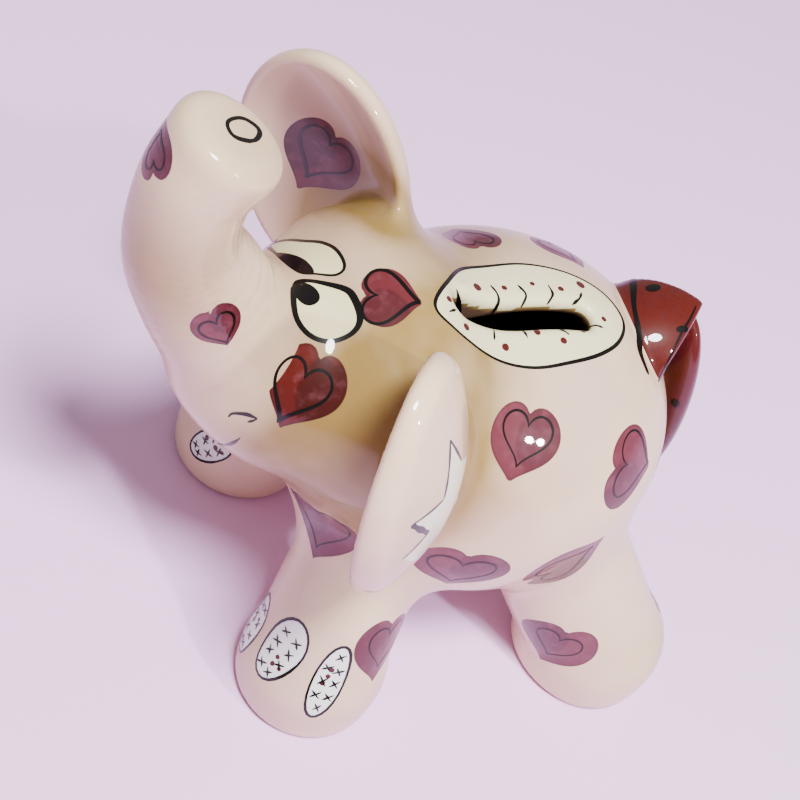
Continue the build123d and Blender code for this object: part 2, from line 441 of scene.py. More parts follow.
def cut_apart(points, triangles, values):
    """Cut the triangles along the line where values pass zero.

    Gives the points with the new ones added, the triangles on the negative side and the rest."""
    values = np.where(np.abs(values) < 1e-4, 1e-4, values)
    inside = values[triangles] < 0
    count = inside.sum(1)
    crossed = triangles[(count == 1) | (count == 2)]
    lone_inside = (values[crossed] < 0).sum(1) == 1
    lone = np.where((values[crossed] < 0) == lone_inside[:, None], 1, 0).argmax(1)
    rows = np.arange(len(crossed))
    a, b, c = (crossed[rows, (lone + i) % 3] for i in range(3))
    edges = np.sort(np.concatenate([np.stack([a, b], 1), np.stack([a, c], 1)]), axis=1)
    edges, index = np.unique(edges, axis=0, return_inverse=True)
    share = values[edges[:, 0]] / (values[edges[:, 0]] - values[edges[:, 1]])
    made = points[edges[:, 0]] + share[:, None] * (points[edges[:, 1]] - points[edges[:, 0]])
    ab, ac = len(points) + index.ravel()[: len(a)], len(points) + index.ravel()[len(a) :]
    tip = np.stack([a, ab, ac], 1)
    base = np.concatenate([np.stack([ab, b, c], 1), np.stack([ab, c, ac], 1)])
    lone_twice = np.concatenate([lone_inside, lone_inside])
    kept = np.concatenate([triangles[count == 3], tip[lone_inside], base[~lone_twice]])
    rest = np.concatenate([triangles[count == 0], tip[~lone_inside], base[lone_twice]])
    return np.concatenate([points, made]), kept, rest


def solid_piece(name, points, faces, normals, material, body="bank"):
    """A mesh object on one of the bodies, from millimetres, with the given normals."""
    mesh = bpy.data.meshes.new(name)
    mesh.from_pydata((points * MM).tolist(), [], faces)
    mesh.shade_smooth()
    mesh.normals_split_custom_set_from_vertices(normals.tolist())
    mesh.materials.append(material)
    piece = bpy.data.objects.new(name, mesh)
    bpy.context.scene.collection.objects.link(piece)
    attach(piece, body)
    return piece


def paint_values(piece, name, values):
    """Store one number for each point of a piece, for its material to read."""
    layer = piece.data.attributes.new(name, "FLOAT", "POINT")
    layer.data.foreach_set("value", np.asarray(values, np.float32))

# ------------------------------------------------------------------ brush work
# A mark is drawn flat, in millimetres, and laid straight down on to the clay.
TOWARDS_TAIL_TOP = np.array((0, 1.0, 1.0))


class Spot:
    """A place on the clay with the directions that a mark is drawn in.

    Without a turn, the mark's top points up and towards the tail."""

    def __init__(self, node, across, back, up, turn=0.0):
        self.centre = onto(place(node, across, back, up)[None], outside)[0]
        self.facing = slope(self.centre[None], outside)[0]
        rise = unit(TOWARDS_TAIL_TOP - (TOWARDS_TAIL_TOP @ self.facing) * self.facing)
        right = np.cross(rise, self.facing)
        c, s = cos(radians(turn)), sin(radians(turn))
        self.right, self.top = right * c + rise * s, rise * c - right * s

    def lay(self, marks):
        """Points on the clay under flat points."""
        p = self.centre + np.asarray(marks, float) @ np.array((self.right, self.top))
        for form in (outside,) * 8 + (clay,) * 6:
            p = p - 0.9 * form(p)[:, None] * self.facing
        return p

    def flat(self, p):
        """Flat points above points on the clay, and how far each is from the mark's plane."""
        q = p - self.centre
        return q @ np.array((self.right, self.top)).T, q @ self.facing


def curve(points, closed=False, spacing=0.7):
    """Evenly spaced points along a smooth line through the given ones."""
    points = np.asarray(points, float)
    if closed:
        rows = np.concatenate([points[-1:], points, points[:2]])
    else:
        rows = np.concatenate([2 * points[:1] - points[1:2], points, 2 * points[-1:] - points[-2:-1]])
    made = []
    for a, b, c, d in zip(rows[:-3], rows[1:-2], rows[2:-1], rows[3:]):
        for t in np.arange(12) / 12:
            made.append(0.5 * (2 * b + (c - a) * t + (2 * a - 5 * b + 4 * c - d) * t**2
                               + (3 * b - a - 3 * c + d) * t**3))
    made.append(rows[-2])
    made = np.array(made)
    run = np.concatenate([[0], np.cumsum(np.linalg.norm(np.diff(made, axis=0), axis=1))])
    count = max(int(run[-1] / spacing), 3)
    at = np.linspace(0, run[-1], count + 1)
    return np.stack([np.interp(at, run, made[:, i]) for i in (0, 1)], 1)


def from_outline(p, outline):
    """How far flat points are from a closed outline, negative inside it."""
    nearest, crossings = np.full(len(p), 1e9), np.zeros(len(p), int)
    for a, b in zip(outline, np.roll(outline, -1, axis=0)):
        along = b - a
        share = np.clip((p - a) @ along / max(along @ along, 1e-9), 0, 1)
        nearest = np.minimum(nearest, np.linalg.norm(p - a - share[:, None] * along, axis=1))
        spans = (a[1] > p[:, 1]) != (b[1] > p[:, 1])
        rise = along[1] if abs(along[1]) > 1e-9 else 1e-9
        crossings += spans & (p[:, 0] < a[0] + along[0] * (p[:, 1] - a[1]) / rise)
    return np.where(crossings % 2, -nearest, nearest)


def wobble(outline, amount, rng):
    """An outline as a hand draws it, in and out by up to about this much."""
    turn = np.arange(len(outline)) / len(outline) * 2 * np.pi
    wave = sum(rng.uniform(-1, 1) * np.sin(k * turn + rng.uniform(0, 6.3)) / k for k in (2, 3, 5))
    return outline * (1 + amount * wave / np.abs(outline).max())[:, None]


def heart_outline(width, height, lean=0.0, cleft=5.0):
    """A heart with its cleft up, from the cleft round by the right. Lean makes one lobe fuller."""
    t = np.linspace(0, 2 * np.pi, 73)[:-1]
    x = np.sin(t) ** 3
    y = 13 * np.cos(t) - cleft * np.cos(2 * t) - 2 * np.cos(3 * t) - np.cos(4 * t)
    y = (y - y.min()) / (y.max() - y.min()) - 0.56
    x = x * (1 + lean * np.sign(x) * 0.5) + lean * 0.25 * y
    return np.stack([x * width / 2, y * height], 1)


def ribbon(spot, line, width, rng, closed=False, blunt=False):
    """One pull of the liner brush: a narrow strip with swelling width and tapered ends."""
    steps = np.gradient(line, axis=0)
    if closed:
        steps = np.roll(line, -1, axis=0) - np.roll(line, 1, axis=0)
    side = np.stack([-steps[:, 1], steps[:, 0]], 1)
    side /= np.maximum(np.linalg.norm(side, axis=1), 1e-9)[:, None]
    share = np.arange(len(line)) / max(len(line) - 1, 1)
    swell = 1 + 0.22 * np.sin(2 * np.pi * (share * rng.uniform(1, 2) + rng.uniform(0, 1)))
    if not closed:
        ends = np.minimum(share, 1 - share) * len(line)
        swell = swell * np.clip(0.35 + ends * (0.6 if blunt else 0.22), 0, 1)
    half = side * (width * swell / 2)[:, None]
    rows = np.stack([line - half, line, line + half], 1)
    count = len(line)
    follow = range(count if closed else count - 1)
    quads = [
        (3 * i + j, 3 * i + j + 1, 3 * ((i + 1) % count) + j + 1, 3 * ((i + 1) % count) + j)
        for i in follow for j in (0, 1)
    ]
    return spot.lay(rows.reshape(-1, 2)), quads


def dab(spot, outline, rings=4):
    """A filled mark, drawn as rings round its middle."""
    middle = outline.mean(0)
    count = len(outline)
    flat = [middle] + [middle + (q - middle) * k / rings for k in range(1, rings + 1) for q in outline]
    faces = [(0, 1 + i, 1 + (i + 1) % count) for i in range(count)]
    for k in range(rings - 1):
        for i in range(count):
            j = (i + 1) % count
            a, b = 1 + k * count, 1 + (k + 1) * count
            faces.append((a + i, b + i, b + j, a + j))
    return spot.lay(np.array(flat)), faces


def round_mark(centre, radius, rng, points=16):
    turn = np.arange(points) / points * 2 * np.pi
    ring = np.stack([np.cos(turn), np.sin(turn)], 1) * radius
    return wobble(ring, radius * 0.12, rng) + np.asarray(centre, float)


def paint_piece(name, marks, material, layer=1):
    """Gather marks into one piece that stands just off the clay."""
    points, faces, start = [], [], 0
    for laid, polygons in marks:
        points.append(laid)
        faces += [tuple(start + i for i in polygon) for polygon in polygons]
        start += len(laid)
    points = np.concatenate(points)
    normals = slope(points)
    first = np.array([f[:3] for f in faces])
    flipped = np.einsum(
        "ij,ij->i", np.cross(points[first[:, 1]] - points[first[:, 0]], points[first[:, 2]] - points[first[:, 0]]),
        normals[first[:, 0]],
    ) < 0
    faces = [f[::-1] if flip else f for f, flip in zip(faces, flipped)]
    points = points + normals * mm("paint_lift") * layer
    return solid_piece(name, points, faces, normals, material)


# ------------------------------------------------------------------ materials
def put(tree, kind, inputs=None, **settings):
    """Add a node with its settings. An input given as a socket is linked, and any other is set."""
    node = tree.nodes.new(kind)
    for name, value in settings.items():
        setattr(node, name, value)
    for name, value in (inputs or {}).items():
        if isinstance(value, bpy.types.NodeSocket):
            tree.links.new(value, node.inputs[name])
        else:
            node.inputs[name].default_value = value
    return node


def per_metre(millimetres):
    """The scale of a pattern whose marks are this far apart."""
    return 1 / (millimetres * MM)


def new_material(name):
    """An empty material and its node tree."""
    material = bpy.data.materials.new(name)
    material.use_nodes = True
    material.node_tree.nodes.clear()
    return material, material.node_tree


def glazed(tree, paint, wave_mm):
    """Clear earthenware glaze, fired glossy: sharp reflections that ripple over the paint below."""
    where = put(tree, "ShaderNodeTexCoord").outputs["Object"]
    wave = put(tree, "ShaderNodeTexNoise", {"Vector": where, "Scale": per_metre(wave_mm), "Detail": 1.0})
    ripple = put(tree, "ShaderNodeBump", {"Height": wave.outputs["Fac"], "Strength": 0.25, "Distance": 0.2 * MM})
    shader = put(tree, "ShaderNodeBsdfPrincipled", {
        "Base Color": paint,
        "Roughness": 0.42,
        "IOR": 1.5,
        "Specular IOR Level": 0.1,
        "Coat Weight": 0.55,
        "Coat Roughness": 0.03,
        "Coat IOR": 1.54,
        "Coat Normal": ripple.outputs["Normal"],
    })
    put(tree, "ShaderNodeOutputMaterial", {"Surface": shader.outputs["BSDF"]})


def mixed(tree, share, first, second):
    """The socket of a colour between two others."""
    node = put(tree, "ShaderNodeMix", {"Factor": share, "A": first, "B": second}, data_type="RGBA")
    return node.outputs["Result"]


def ramped(tree, value, low, high, bottom=0.0, top=1.0):
    """The socket of a value that goes smoothly from bottom to top between low and high."""
    node = put(
        tree, "ShaderNodeMapRange",
        {"Value": value, "From Min": low, "From Max": high, "To Min": bottom, "To Max": top},
        interpolation_type="SMOOTHSTEP",
    )
    return node.outputs["Result"]


def earthenware():
    """Slip-cast earthenware, painted and then dipped in clear glaze.

    Pale slip with a pink cast and soft clouds; tan partly where the glaze pools and partly as painted shade in
    hollows, creases and the listed places; flat washes of maroon underglaze that darken where strokes overlap and
    along their edges; pale fields; and dark brown painted shade inside the slot."""
    material, tree = new_material("painted earthenware under clear glaze")
    where = put(tree, "ShaderNodeTexCoord").outputs["Object"]
    value = {
        name: put(tree, "ShaderNodeAttribute", attribute_name=name).outputs["Fac"]
        for name in ("wash", "stroke", "tone", "field", "field_tone", "pool_and_shade", "inside_shade")
    }
    cloud = put(tree, "ShaderNodeTexNoise", {"Vector": where, "Scale": per_metre(30), "Detail": 3.0}).outputs["Fac"]
    # Brush hairs leave streaks about 3 mm apart, and pigment grains gather about 1 mm apart.
    hairs = put(tree, "ShaderNodeTexNoise", {"Vector": where, "Scale": per_metre(3), "Detail": 4.0}).outputs["Fac"]
    grain = put(tree, "ShaderNodeTexNoise", {"Vector": where, "Scale": per_metre(0.9), "Detail": 2.0}).outputs["Fac"]

    slip = mixed(tree, ramped(tree, cloud, 0.35, 0.7), shade("slip"), shade("blush"))
    slip = mixed(tree, ramped(tree, grain, 0.4, 0.75, 0, 0.18), slip, shade("blush"))
    # Tan of painted shade in hollows, creases and the listed places, partly glaze pooling, made patchy by the clouds.
    tan = put(tree, "ShaderNodeMath", {0: value["pool_and_shade"], 1: ramped(tree, cloud, 0.3, 0.7, 0.75, 1.1)},
              operation="MULTIPLY", use_clamp=True).outputs[0]
    slip = mixed(tree, tan, slip, shade("tan_tint_and_shade"))

    pale = mixed(tree, value["field_tone"], shade("cream"), shade("nail"))
    ground = mixed(tree, ramped(tree, value["field"], -0.1, 0.1, 1, 0), slip, pale)

    thin = mixed(tree, value["tone"], shade("rose"), shade("oxblood"))
    thick = mixed(tree, value["tone"], shade("maroon"), shade("umber"))
    ragged = put(tree, "ShaderNodeMath", {0: hairs, 1: 1.0, 2: value["stroke"]}, operation="MULTIPLY_ADD").outputs[0]
    overlap = ramped(tree, ragged, 0.1, 1.1, 0.62, 0.0)
    wash = mixed(tree, overlap, thin, thick)
    wash = mixed(tree, ramped(tree, hairs, 0.45, 0.8, 0, 0.35), wash, shade("thin_wash"))
    # Pigment pushed to the edge dries darker, about half a millimetre wide.
    wash = mixed(tree, ramped(tree, value["wash"], -0.75, -0.1, 0, 0.5), wash, thick)
    painted = mixed(tree, ramped(tree, value["wash"], -0.12, 0.1, 1, 0), ground, wash)
    # Dark brown painted shade on the clay inside the slot and the hollow.
    painted = mixed(tree, value["inside_shade"], painted, shade("inside_shade"))
    glazed(tree, painted, 14)
    return material


def underglaze(name, colour_name, grain_name=None):
    """A mark of one underglaze colour, a little uneven, under the same clear glaze."""
    material, tree = new_material(name)
    where = put(tree, "ShaderNodeTexCoord").outputs["Object"]
    grains = put(tree, "ShaderNodeTexNoise", {"Vector": where, "Scale": per_metre(0.8), "Detail": 3.0}).outputs["Fac"]
    second = shade(grain_name) if grain_name else [0.6 * c for c in shade(colour_name)[:3]] + [1]
    glazed(tree, mixed(tree, ramped(tree, grains, 0.35, 0.7), shade(colour_name), second), 14)
    return material


def moulded_rubber():
    """Translucent off-white rubber from a matt steel mould: soft sheen and faint cloudiness."""
    material, tree = new_material("matt moulded rubber")
    where = put(tree, "ShaderNodeTexCoord").outputs["Object"]
    cloud = put(tree, "ShaderNodeTexNoise", {"Vector": where, "Scale": per_metre(9), "Detail": 2.0}).outputs["Fac"]
    # The steel mould was bead-blasted, which leaves pits about 0.3 mm apart.
    pits = put(tree, "ShaderNodeTexNoise", {"Vector": where, "Scale": per_metre(0.3), "Detail": 1.0}).outputs["Fac"]
    matt = put(tree, "ShaderNodeBump", {"Height": pits, "Strength": 0.3, "Distance": 0.02 * MM})
    shader = put(tree, "ShaderNodeBsdfPrincipled", {
        "Base Color": mixed(tree, ramped(tree, cloud, 0.3, 0.75, 0, 0.5), shade("rubber"), shade("tan_tint_and_shade")),
        "Roughness": 0.55,
        "IOR": 1.52,
        "Subsurface Weight": 0.15,
        "Subsurface Scale": 1.2 * MM,
        "Normal": matt.outputs["Normal"],
    })
    put(tree, "ShaderNodeOutputMaterial", {"Surface": shader.outputs["BSDF"]})
    return material


def painted_tail():
    """Maroon underglaze brushed thick over the tail: red-brown on top and plum lower down."""
    material, tree = new_material("maroon underglaze on the tail")
    where = put(tree, "ShaderNodeTexCoord").outputs["Object"]
    height = put(tree, "ShaderNodeSeparateXYZ", {"Vector": where}).outputs["Z"]
    hairs = put(tree, "ShaderNodeTexNoise", {"Vector": where, "Scale": per_metre(4), "Detail": 4.0}).outputs["Fac"]
    grain = put(tree, "ShaderNodeTexNoise", {"Vector": where, "Scale": per_metre(0.9), "Detail": 2.0}).outputs["Fac"]
    wash = mixed(tree, ramped(tree, height, TAIL_LOW[2] * MM, TAIL_HIGH[2] * MM), shade("plum"), shade("oxblood"))
    wash = mixed(tree, ramped(tree, hairs, 0.45, 0.75, 0, 0.45), wash, shade("maroon"))
    wash = mixed(tree, ramped(tree, grain, 0.45, 0.8, 0, 0.3), wash, shade("umber"))
    glazed(tree, wash, 14)
    return material


# ------------------------------------------------------------------ the paint
class Heart:
    """A heart of maroon wash with a black heart drawn inside it."""

    def __init__(self, skin, place_on, turn, size, tone, ink=(0, 0, 0.65), lean=0.0):
        self.skins, self.place_on, self.turn = skin, place_on, turn
        self.width, self.height = size
        self.tone, self.ink, self.lean = tone, ink, lean


# The skins a heart reaches, its node and shares, its turn, its width and height, its tone,
# and where its black heart sits: across, up and size, as shares of the wash.
HEARTS = (
    Heart(("trunk", "head"), ("trunk", 0.92, 0.45, 0.44), 77, (10.5, 12), 0.35, (0, -0.1, 0.68)),
    Heart(("head", "torso"), ("head", 0.585, 0.61, 0.93), 156, (14.5, 13.5), 0.55, (0, -0.02, 0.86)),
    Heart(("head",), ("head", 0.77, 0.29, 0.72), 29, (16.5, 19), 1.0, (-0.06, -0.08, 0.72)),
    Heart(("ear_right",), ("ear_right", 0.38, 0.49, 0.53), 29, (20, 27), 0.8, (0, 0, 0.68)),
    Heart(("trunk",), ("trunk", 0.49, 0.035, 0.85), -132, (10.5, 12), 0.3, (0, 0, 0.6)),
    Heart(("torso",), ("torso", 0.847, 0.41, 0.85), 40, (18, 18), 0.05, (0.02, 0.02, 0.66)),
    Heart(("torso",), ("torso", 0.887, 0.72, 0.73), 119, (21, 18), 0.05, (0.05, -0.08, 0.74)),
    Heart(("torso", "leg_front_left"), ("torso", 0.988, 0.34, 0.45), 45, (24, 17), 0.0, (0, -0.05, 0.66)),
    Heart(("torso", "leg_rear_left"), ("torso", 1.0, 0.62, 0.42), 175, (19, 22), 0.0, (0, -0.02, 0.66)),
    Heart(("leg_rear_left", "torso"), ("leg_rear_left", 0.78, 0.29, 0.39), 38, (21, 20), 0.0, (0, 0, 0.58)),
    Heart(("torso", "leg_front_left"), ("torso", 0.775, 0.06, 0.39), 48, (22, 20), 0.05, (0, 0, 0.74)),
    Heart(("leg_front_left", "torso"), ("leg_front_left", 0.78, 0.71, 0.52), 33, (17, 20), 0.05, (0.05, 0, 0.66)),
    Heart(("torso",), ("torso", 0.24, 0.44, 0.92), -60, (15, 15), 0.2),
    Heart(("torso",), ("torso", 0.27, 0.68, 0.90), 150, (16, 15), 0.2),
    # The right side and the back, painted in the same way as the left.
    Heart(("head",), ("head", 0.2, 0.33, 0.55), -29, (15, 17), 1.0, (0.06, -0.08, 0.72)),
    Heart(("trunk", "head"), ("trunk", 0.08, 0.45, 0.44), -77, (11, 12.5), 0.15, (0, -0.1, 0.68)),
    Heart(("ear_left",), ("ear_left", 0.61, 0.48, 0.53), -29, (20, 26), 0.35, (0, 0, 0.68)),
    Heart(("torso",), ("torso", 0.05, 0.55, 0.62), -25, (20, 20), 0.05, (0, 0, 0.7)),
    Heart(("torso", "leg_front_right"), ("torso", 0.012, 0.34, 0.45), -45, (22, 18), 0.0, (0, -0.05, 0.66)),
    Heart(("torso", "leg_rear_right"), ("torso", 0.1, 0.78, 0.6), -140, (19, 20), 0.0, (0, -0.02, 0.66)),
    Heart(("leg_rear_right", "torso"), ("leg_rear_right", 0.22, 0.29, 0.39), -38, (20, 20), 0.0, (0, 0, 0.6)),
    Heart(("leg_front_right", "torso"), ("leg_front_right", 0.22, 0.71, 0.52), -33, (16, 19), 0.05, (0, 0, 0.66)),
    Heart(("torso", "leg_front_right"), ("torso", 0.225, 0.06, 0.39), -48, (20, 19), 0.05, (0, 0, 0.74)),
    Heart(("torso",), ("torso", 0.78, 0.95, 0.55), 25, (18, 18), 0.05, (0, 0, 0.68)),
    Heart(("torso",), ("torso", 0.22, 0.95, 0.50), -20, (18, 19), 0.05, (0, 0, 0.68)),
    Heart(("leg_rear_left",), ("leg_rear_left", 0.45, 0.97, 0.45), 10, (16, 17), 0.0, (0, 0, 0.66)),
    Heart(("leg_rear_right",), ("leg_rear_right", 0.55, 0.97, 0.42), -12, (16, 17), 0.0, (0, 0, 0.66)),
)


def heart_line(width, height, lean):
    """The black heart, pulled in one stroke from its cleft round to its cleft."""
    outline = heart_outline(width, height, lean, 5)
    return np.concatenate([outline, outline[:2]])


def wash_marks(heart, rng):
    """The outline of a wash and that of the stroke that went over one side of it.

    A full brush rounds off the cleft and the tip."""
    outline = heart_outline(heart.width, heart.height, heart.lean, 2.2)
    outline = sum(np.roll(outline, k, axis=0) for k in range(-3, 4)) / 7
    outline = wobble(outline, 0.35, rng)
    side = 1 if rng.uniform() < 0.5 else -1
    over = outline * (0.62, 0.86) + (side * heart.width * 0.2, heart.height * 0.02)
    return outline, wobble(over, 0.8, rng)


class Skin:
    """One section of the clay with the values that its paint is made from."""

    LIMIT = 3.0

    def __init__(self, name, points, triangles, normals):
        self.name, self.triangles = name, triangles
        self.points, self.normals = points, normals
        # Painted shade: points whose surroundings 6 mm out are close to the clay, in hollows and creases, and points
        # near the listed places are tinted tan, partly as glaze pooling. Points more than 2.2 mm inside the outer
        # form, such as the slot's walls, are painted dark brown as shade.
        beyond = outside(points + 6 * normals)
        inside_shade = np.clip((-outside(points) - 2.2) / 0.8, 0, 1)
        pool_and_shade = np.clip(1.15 - beyond / 6, 0, 1)
        for spot_place, radius, strength in SHADE_AND_WARM_LIGHT_PLACES:
            gap = np.linalg.norm(points - place(*spot_place), axis=1)
            pool_and_shade = pool_and_shade + strength * np.exp(-((gap / radius) ** 2))
        self.values = {
            "pool_and_shade": np.clip(pool_and_shade, 0, 1),
            "wash": np.full(len(points), self.LIMIT),
            "stroke": np.full(len(points), self.LIMIT),
            "tone": np.zeros(len(points)),
            "field": np.full(len(points), self.LIMIT),
            "field_tone": np.zeros(len(points)),
            "inside_shade": inside_shade,
        }

    def near(self, spot, reach, depth=14.0):
        flat, height = spot.flat(self.points)
        seen = (np.linalg.norm(flat, axis=1) < reach) & (np.abs(height) < depth)
        seen &= self.normals @ spot.facing > 0.12
        return np.nonzero(seen)[0], flat

    def add(self, name, spot, outline, tone_name=None, tone=0.0):
        index, flat = self.near(spot, np.abs(outline).max() * 1.45 + self.LIMIT)
        if not len(index):
            return
        gap = np.clip(from_outline(flat[index], outline), -self.LIMIT, self.LIMIT)
        nearer = gap < self.values[name][index]
        self.values[name][index[nearer]] = gap[nearer]
        if tone_name:
            self.values[tone_name][index[nearer]] = tone

    def show(self, material, slot):
        piece = solid_piece(self.name + "_skin", self.points, self.triangles.tolist(), self.normals, material)
        for name, values in self.values.items():
            paint_values(piece, name, values)
        return piece


# Painted shade and painted warm reflected light, as tan on the clay: a node and shares, a reach in mm and a strength.
SHADE_AND_WARM_LIGHT_PLACES = (
    (("head", 0.95, 0.7, 0.5), 21, 0.95),
    (("head", 0.8, 0.4, 0.35), 16, 0.6),
    (("head", 0.7, 0.8, 0.85), 12, 0.55),
    (("head", 0.05, 0.75, 0.55), 19, 0.5),
    (("trunk", 0.9, 0.15, 0.4), 15, 0.4),
    (("torso", 0.15, 0.4, 0.95), 18, 0.45),
    (("ear_right", 0.6, 0.7, 0.6), 18, 0.5),
    (("ear_left", 0.2, 0.7, 0.75), 15, 0.45),
    (("head", 0.83, 0.68, 0.76), 17, 0.9),
    (("head", 0.93, 0.3, 0.42), 16, 0.6),
    (("trunk", 0.7, 0.08, 0.6), 16, 0.45),
    (("torso", 0.3, 0.2, 0.95), 16, 0.5),
    (("trunk", 0.5, 0.5, 0.97), 11, 0.35),
    (("torso", 0.5, 0.25, 1.0), 14, 0.35),
    (("torso", 0.5, 0.95, 0.85), 12, 0.25),
    (("leg_rear_left", 0.9, 0.95, 0.3), 14, 0.25),
    (("leg_front_left", 0.3, 0.1, 0.3), 14, 0.2),
)

PIECE_FORMS = {
    "tail": tail,
    "leg_front": front_leg,
    "leg_rear": rear_leg,
    "ear": ear,
    "trunk": trunk,
    "head": head,
    "torso": barrel,
}


def sections(points, triangles):
    """The clay cut into the elephant's own parts along the lines where they meet."""
    found = {}
    names = list(PIECE_FORMS)
    for i, name in enumerate(names[:-1]):
        mirrored = np.concatenate([np.abs(points[:, :1]), points[:, 1:]], 1)
        gaps = [PIECE_FORMS[n](points if n == "ear" else mirrored) for n in names[i:]]
        own, others = gaps[0], np.minimum.reduce(gaps[1:])
        if name != "head":
            own = np.where(outside(points) < -mm("wall") / 2, 100.0, own)
        before = len(points)
        points, kept, triangles = cut_apart(points, triangles, own - others)
        points[before:] = onto(points[before:], clay, 2)
        if name in ("ear", "leg_front", "leg_rear"):
            middle = points[kept].mean(1)[:, 0]
            found[name + "_left"], found[name + "_right"] = kept[middle > 0], kept[middle <= 0]
        else:
            found[name] = kept
    found["torso"] = triangles
    return points, found


# ------------------------------------------------------------------ the pieces
class BANK_OT_cast_body(bpy.types.Operator):
    """Cast the elephant in sections that meet without a seam, and lay on its washes and pale fields"""

    bl_idname = "bank.cast_body"
    bl_label = "Cast and wash the body"

    def execute(self, context):
        low = np.minimum.reduce([node_box(node)[0] for node in frame["nodes"]])
        high = np.maximum.reduce([node_box(node)[1] for node in frame["nodes"]])
        points, triangles = cast(clay, low, high, mm("grain") * (1))
        points, found = sections(points, triangles)
        clay_material, tail_material = earthenware(), painted_tail()
        skins = {}
        for name, faces in found.items():
            used, index = np.unique(faces, return_inverse=True)
            own = points[used]
            skins[name] = Skin(name, own, index.reshape(-1, 3), slope(own))
        rng = np.random.default_rng(7)
        for heart in HEARTS:
            spot = Spot(*heart.place_on, heart.turn)
            outline, over = wash_marks(heart, rng)
            for name in heart.skins:
                skins[name].add("wash", spot, outline, "tone", heart.tone)
                skins[name].add("stroke", spot, over)
        for names, spot, outline, tone in pale_fields():
            for name in names:
                skins[name].add("field", spot, outline, "field_tone", tone)
        for name, skin in skins.items():
            is_tail = name == "tail"
            piece = skin.show(tail_material if is_tail else clay_material, "painted_tail" if is_tail else "glazed_earthenware")
            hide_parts(name)
        return {"FINISHED"}


EYES = {
    "near": (("head", 0.585, 0.396, 0.854), (
        (-6.3, -5.4), (-8.0, -2.9), (-7.3, 0.8), (-3.8, 5.2), (-0.6, 6.0), (3.9, 5.2),
        (6.0, 2.6), (5.9, -1.8), (3.8, -5.4), (0.8, -7.3), (-2.4, -7.2))),
    "far": (("head", 0.352, 0.409, 0.836), (
        (-14.5, -8.4), (-12.6, -5.8), (-7.6, -1.4), (-4.2, 2.8), (-0.4, 5.6), (4.4, 6.8),
        (6.3, 5.0), (5.9, 0.6), (6.6, -3.0), (3.6, -5.6), (-3.0, -7.2), (-9.6, -8.3))),
}
SLOT_SURROUND = ("torso", 0.557, 0.471, 0.986)
SLOT_OUTLINE = (
    (-0.6, -26.6), (-7.6, -19.3), (-12.6, -12.2), (-14.4, -4.6), (-14.2, 5.1), (-10.6, 17.1), (-5.3, 24.9),
    (1.6, 27.0), (7.4, 22.5), (10.9, 14.6), (12.2, 5.0), (11.9, -3.5), (8.6, -15.0), (4.4, -23.4))
# Lashes pulled from the ground over the slot's rounded lips, and ticks along its near side.
SLOT_STITCHES = (
    ((-6.2, -17.4), (-4.4, -15.4), (-3.4, -14.4), (-2.2, -15.4)),
    ((-8.7, -6.1), (-6.4, -5.5), (-4.4, -5.6), (-3.2, -6.8)),
    ((-8.1, 0.9), (-5.2, 1.6), (-3.2, 0.2)),
    ((-7.2, 8.5), (-4.6, 8.4), (-2.8, 6.6)),
    ((-4.9, 17.0), (-3.2, 15.4), (-2.2, 13.2)),
    ((0.9, -23.4), (0.0, -20.9)),
    ((3.2, 16.0), (4.6, 18.6)),
    ((2.9, -10.6), (5.4, -11.6)),
    ((3.2, -2.8), (5.4, -2.6)),
    ((3.6, 6.0), (6.0, 8.0)),
)
# Dots round the slot: where each is and its radius.
SLOT_DOTS = (
    ((-2.2, -22.0), 0.75), ((-7.7, -10.4), 1.05), ((-7.7, -2.8), 0.7), ((-7.9, 4.6), 0.6), ((-5.9, 11.4), 0.75),
    ((-7.3, 18.2), 1.1), ((2.2, 20.0), 0.7), ((3.6, -19.4), 0.8), ((4.3, 0.3), 0.8), ((4.9, 12.4), 0.75),
    ((6.9, -9.0), 0.9), ((7.2, 5.9), 0.8),
)
NAILS = (
    (("leg_front_left", 0.657, 0.132, 0.411), 17, (10.4, 18.5)),
    (("leg_front_left", 0.878, 0.372, 0.394), 35, (7.6, 20)),
    (("leg_front_left", 0.394, 0.07, 0.294), 6, (9, 17)),
    (("leg_front_right", 0.343, 0.132, 0.411), -17, (10, 18)),
    (("leg_front_right", 0.122, 0.372, 0.394), -35, (8, 19)),
    (("leg_front_right", 0.66, 0.10, 0.29), -12, (8.6, 15)),
)


# The pale patch on the back of the left ear: its drawn edge, its second edge, and the rest,
# which runs past the ear's rim.
EAR_PATCH = ("ear_left", 0.797, 0.381, 0.616)
EAR_PATCH_EDGE = ((-7.8, 10.9), (1.7, 0.5), (-3.5, -6.6), (6.0, -7.0), (6.3, -14.0))
EAR_PATCH_REST = ((34, -14), (34, 14), (2.6, 8.4))


def nail_outline(size, rng):
    turn = np.arange(24) / 24 * 2 * np.pi
    return wobble(np.stack([np.cos(turn), np.sin(turn)], 1) * np.array(size) / 2, 0.5, rng)


def pale_fields():
    """The pale grounds under the eyes, round the coin slot and on the toenails."""
    made = [(("head", "trunk"), Spot(*where), curve(outline, True), 0.0) for where, outline in EYES.values()]
    made.append((("torso", "head"), Spot(*SLOT_SURROUND), curve(SLOT_OUTLINE, True), 0.15))
    made.append((("ear_left",), Spot(*EAR_PATCH), np.array(EAR_PATCH_EDGE + EAR_PATCH_REST, float), 0.6))
    for i, (where, turn, size) in enumerate(NAILS):
        outline = nail_outline(size, np.random.default_rng(40 + i))
        made.append(((where[0],), Spot(*where, turn), outline, 1.0))
    return made


